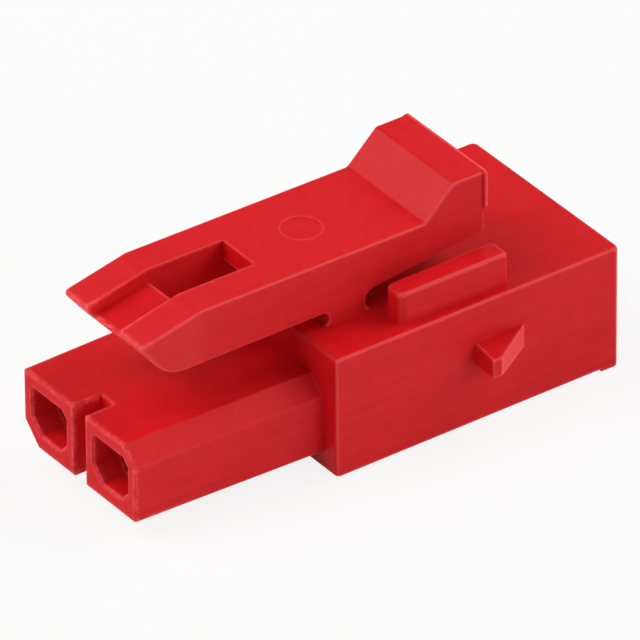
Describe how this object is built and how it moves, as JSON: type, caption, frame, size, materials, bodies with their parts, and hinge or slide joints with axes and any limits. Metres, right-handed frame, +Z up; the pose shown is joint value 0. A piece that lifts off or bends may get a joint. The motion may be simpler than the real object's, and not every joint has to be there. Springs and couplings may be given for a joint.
{
  "type": "wire-to-board connector",
  "caption": "Small red plastic receptacle housing for crimped wire terminals, with a keyed mating nose, a rocking latch lever between guard walls and wedge-shaped side ribs.",
  "frame": {"origin": "middle of the footprint, on the surface that the housing rests on", "axes": "+X across the row of contacts, +Y from the mating face to the wire entries, +Z up, latch on top"},
  "size_m": [0.0088, 0.0164, 0.0071],
  "materials": {
    "housing": "satin as moulded, red polyamide"
  },
  "bodies": {
    "root": {"housing": "housing"}
  },
  "joints": []
}
